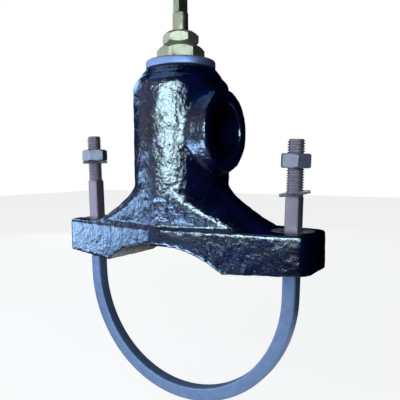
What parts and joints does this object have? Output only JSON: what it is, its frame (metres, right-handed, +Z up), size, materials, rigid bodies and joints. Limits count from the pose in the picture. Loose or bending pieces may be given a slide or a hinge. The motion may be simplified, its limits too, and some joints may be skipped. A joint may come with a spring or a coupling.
{
  "type": "saddle valve",
  "caption": "Cast iron saddle with a side outlet and a screw-down valve, held round a water main by a square bar strap with nuts, for tapping a service pipe.",
  "frame": {"origin": "on the axis of the main that the saddle's arch fits, straight below the spindle", "axes": "+Z up along the spindle, +X out of the side outlet and from leg to leg of the strap, Y along the main"},
  "size_m": [0.2175, 0.0744, 0.3175],
  "materials": {
    "coated_iron": "rough sand casting dipped in black bitumen paint with a deep blue gloss",
    "bonnet_brass": "turned, dulled brass",
    "gland_brass": "turned, dulled brass",
    "stem_bronze": "turned bronze",
    "bronze": "turned bronze",
    "strap_steel": "drawn square bar, dull galvanised",
    "nut_steel": "zinc plated",
    "washer_steel": "zinc plated",
    "rubber": "moulded black rubber",
    "fibre": "pressed fibre",
    "packing": "greased plaited packing"
  },
  "bodies": {
    "root": {"saddle_body": "coated_iron", "saddle_seal": "rubber", "seat_ring": "bronze", "bonnet": "bonnet_brass", "bonnet_gasket": "fibre", "packing_ring_1": "packing", "packing_ring_2": "packing", "packing_ring_3": "packing", "gland_follower": "bronze", "gland_nut": "gland_brass"},
    "disc": {"valve_disc": "bronze", "disc_locknut": "bronze", "disc_seal": "rubber", "disc_washer": "bronze", "disc_nut": "bronze"},
    "stem": {"stem": "stem_bronze"},
    "strap": {"u_bolt": "strap_steel"},
    "washer_left": {"spring_washer_left": "washer_steel"},
    "nut_left": {"hex_nut_left": "nut_steel"},
    "washer_right": {"spring_washer_right": "washer_steel"},
    "nut_right": {"hex_nut_right": "nut_steel"}
  },
  "joints": [
    {"name": "disc_lift", "type": "slide", "parent": "root", "child": "disc", "axis": [0, 0, 1], "range_m": [0, 0.01]},
    {"name": "stem_turn", "type": "hinge", "parent": "disc", "child": "stem", "pos_m": [0, 0, 0.136], "axis": [0, 0, 1], "range_deg": [0, 1800]},
    {"name": "strap_slide", "type": "slide", "parent": "root", "child": "strap", "axis": [0, 0, 1], "range_m": [-0.022, 0.022]},
    {"name": "left_washer_slide", "type": "slide", "parent": "strap", "child": "washer_left", "axis": [-0.0319, 0, 0.9995], "range_m": [-0.015, 0.0115]},
    {"name": "left_nut_turn", "type": "hinge", "parent": "washer_left", "child": "nut_left", "pos_m": [-0.09435, 0, 0.14963], "axis": [-0.0319, 0, 0.9995], "range_deg": [-3086, 2366]},
    {"name": "right_washer_slide", "type": "slide", "parent": "strap", "child": "washer_right", "axis": [0.0319, 0, 0.9995], "range_m": [0, 0.014]},
    {"name": "right_nut_slide", "type": "slide", "parent": "strap", "child": "nut_right", "axis": [0.0319, 0, 0.9995], "range_m": [-0.0135, 0.0097]}
  ],
  "couplings": [
    {"joint": "stem_turn", "follows": "disc_lift", "rad_per_m": 3141.5},
    {"joint": "left_nut_turn", "follows": "left_washer_slide", "rad_per_m": 3590.4}
  ]
}
